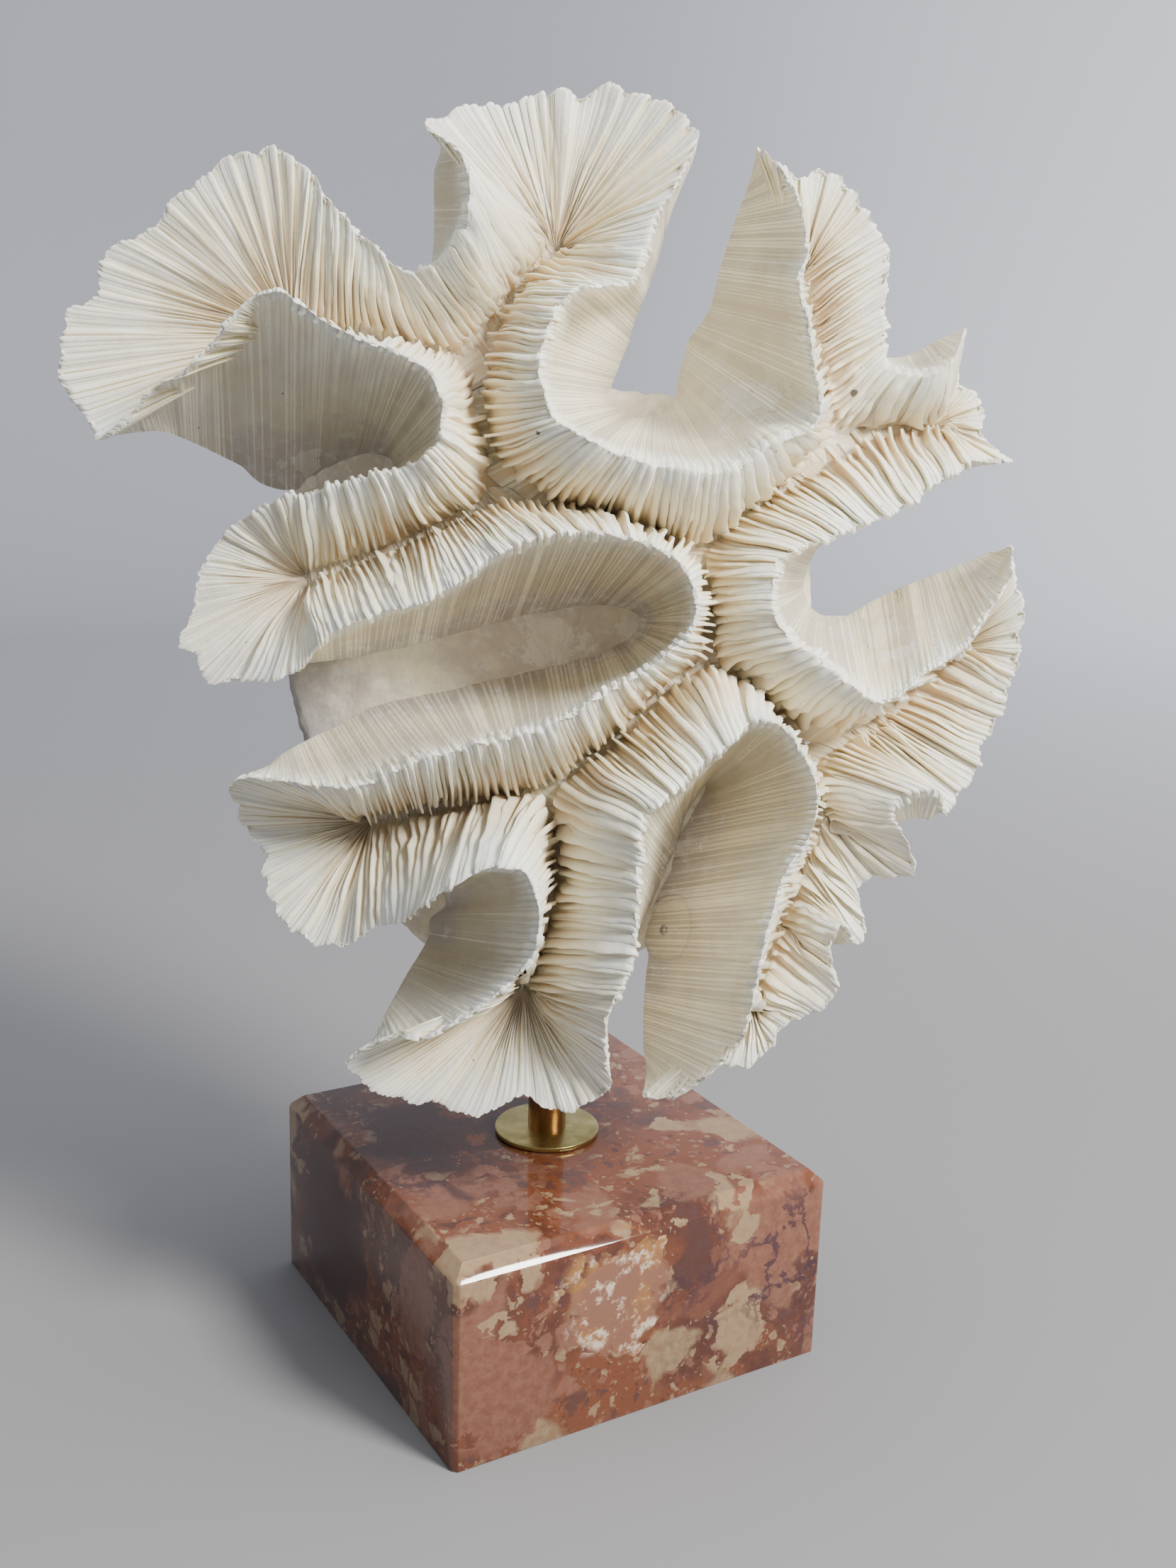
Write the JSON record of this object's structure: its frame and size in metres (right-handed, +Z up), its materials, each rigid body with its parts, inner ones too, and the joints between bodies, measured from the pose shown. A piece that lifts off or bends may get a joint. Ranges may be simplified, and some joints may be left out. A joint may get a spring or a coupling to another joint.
{
  "type": "brain coral on a stand",
  "caption": "Fan-lobed brain coral with one long ribbed rim, held upright for display on a brass rod, a small brass disc and a square block of red-brown marble",
  "frame": {"origin": "centre of the marble block's underside", "axes": "+Z up, X and Y along the block's sides; the coral's open side faces -Y and, by about 31 degrees, -X"},
  "size_m": [0.1852, 0.1372, 0.2989],
  "materials": {
    "marble": "polished red-brown marble with pale broken pieces and veins",
    "disc_brass": "satin yellow brass",
    "rod_brass": "satin brown-toned brass",
    "coral": "matt ivory coral, tan deep in its grooves"
  },
  "bodies": {
    "root": {"marble_base": "marble", "brass_disc": "disc_brass", "brass_rod": "rod_brass", "coral_stalk": "coral", "coral_centre": "coral", "coral_top": "coral", "coral_upper_right": "coral", "coral_right": "coral", "coral_lower_right": "coral", "coral_bottom_right": "coral", "coral_bottom": "coral", "coral_lower_left": "coral", "coral_left": "coral", "coral_upper_left": "coral"}
  },
  "joints": []
}
